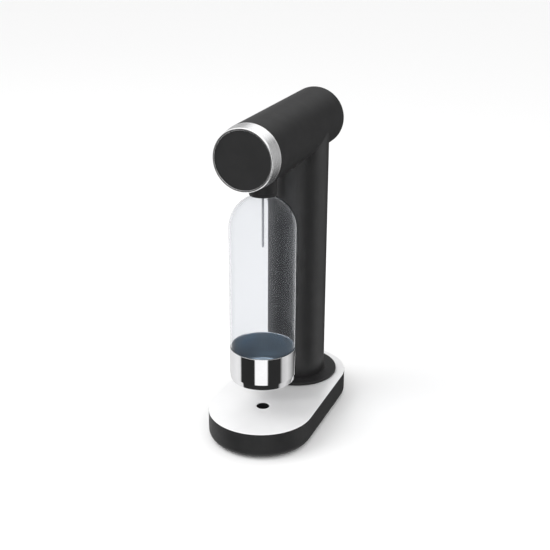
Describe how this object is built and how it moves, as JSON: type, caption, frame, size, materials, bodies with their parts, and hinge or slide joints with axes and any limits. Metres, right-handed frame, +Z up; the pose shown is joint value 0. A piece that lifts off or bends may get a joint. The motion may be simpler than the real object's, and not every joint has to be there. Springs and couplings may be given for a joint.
{
  "type": "soda carbonator",
  "caption": "Soda carbonator with a round column, a horizontal cylindrical head with a sprung turning knob, a hanging clear bottle and a stadium-shaped base.",
  "frame": {"origin": "middle of the base's footprint, on the surface that the rubber feet stand on", "axes": "+Z up, -Y is the front, where the knob and the bottle are, +X is the right-hand side seen from the front"},
  "size_m": [0.14, 0.269, 0.432],
  "materials": {
    "black_plastic": "fine matte moulding",
    "rubber": "matte",
    "steel_frame": "zinc-plated sheet",
    "screw_steel": "turned and plated",
    "brushed_plate": "fine brushed stainless",
    "satin_black": "satin fine-texture paint",
    "chrome": "polished stainless",
    "cup_liner": "blue-grey satin",
    "clear": "clear",
    "aluminium": "lacquered",
    "brass": "machined",
    "cam_plastic": "natural acetal",
    "tube_plastic": "smooth dark grey nylon"
  },
  "bodies": {
    "base": {"base_housing": "black_plastic", "rubber_feet": "rubber", "base_frame": "steel_frame", "base_screws": "screw_steel", "drain_cup": "black_plastic", "top_plate": "brushed_plate", "column_seat": "black_plastic", "column_frame": "steel_frame", "column_screws": "screw_steel", "column_tube": "satin_black", "head_shell": "satin_black", "head_rear_cap": "satin_black", "head_frame": "steel_frame", "frame_screws": "screw_steel", "shaft_bushes": "brass", "valve_block": "brass", "plunger_seal": "rubber", "cylinder_washer": "rubber", "relief_valve": "brass", "relief_spring": "screw_steel", "plunger_spring": "screw_steel", "knob_spring": "screw_steel", "nozzle_block": "black_plastic", "tube_nuts": "brass", "gas_tube": "tube_plastic", "nozzle_tube": "tube_plastic", "nozzle_tip": "tube_plastic", "bottle_socket": "black_plastic"},
    "knob": {"knob_ring": "brushed_plate", "knob_face": "satin_black", "knob_hub": "black_plastic", "stop_pin": "screw_steel", "drive_shaft": "screw_steel", "shaft_clip": "screw_steel", "cam": "cam_plastic", "cam_pin": "screw_steel"},
    "plunger": {"plunger": "screw_steel"},
    "relief_poppet": {"relief_poppet": "screw_steel"},
    "gas_cylinder": {"gas_cylinder": "aluminium", "cylinder_valve": "brass", "valve_spring": "screw_steel"},
    "valve_pin": {"valve_pin": "screw_steel"},
    "hatch": {"cylinder_hatch": "black_plastic", "hatch_pad": "rubber"},
    "bottle_seal": {"seal_carrier": "black_plastic", "bottle_gasket": "rubber"},
    "bottle": {"bottle": "clear", "bottle_cup": "chrome", "cup_liner": "cup_liner"}
  },
  "joints": [
    {"name": "knob_turn", "type": "hinge", "parent": "base", "child": "knob", "pos_m": [0, 0, 0.3915], "axis": [0, 1, 0], "range_deg": [0, 45], "stiffness_Nm_per_rad": 0.8, "springref_deg": -11.46, "deforming": ["knob_spring"]},
    {"name": "plunger_press", "type": "slide", "parent": "base", "child": "plunger", "axis": [0, 0, -1], "range_m": [0, 0.0031], "stiffness_N_per_m": 400, "deforming": ["plunger_spring"]},
    {"name": "gas_cylinder_unscrew", "type": "hinge", "parent": "base", "child": "gas_cylinder", "pos_m": [0, 0.0645, 0.2], "axis": [0, 0, 1], "range_deg": [0, 360]},
    {"name": "valve_pin_press", "type": "slide", "parent": "gas_cylinder", "child": "valve_pin", "axis": [0, 0, -1], "range_m": [0, 0.0031], "stiffness_N_per_m": 400, "deforming": ["valve_spring"]},
    {"name": "relief_lift", "type": "slide", "parent": "base", "child": "relief_poppet", "axis": [1, 0, 0], "range_m": [0, 0.001], "stiffness_N_per_m": 2000, "springref_m": -0.001, "deforming": ["relief_spring"]},
    {"name": "hatch_turn", "type": "hinge", "parent": "base", "child": "hatch", "pos_m": [0, 0.0645, 0.0058], "axis": [0, 0, 1], "range_deg": [-40, 0]},
    {"name": "bottle_twist", "type": "hinge", "parent": "base", "child": "bottle_seal", "pos_m": [0, -0.0585, 0.354], "axis": [0, 0, 1], "range_deg": [-90, 0]},
    {"name": "bottle_drop", "type": "slide", "parent": "bottle_seal", "child": "bottle", "axis": [0, 0, -1], "range_m": [0, 0.042]}
  ],
  "couplings": [
    {"joint": "plunger_press", "follows": "knob_turn", "m_per_rad": 0.0038197},
    {"joint": "valve_pin_press", "follows": "knob_turn", "m_per_rad": 0.0038197}
  ]
}
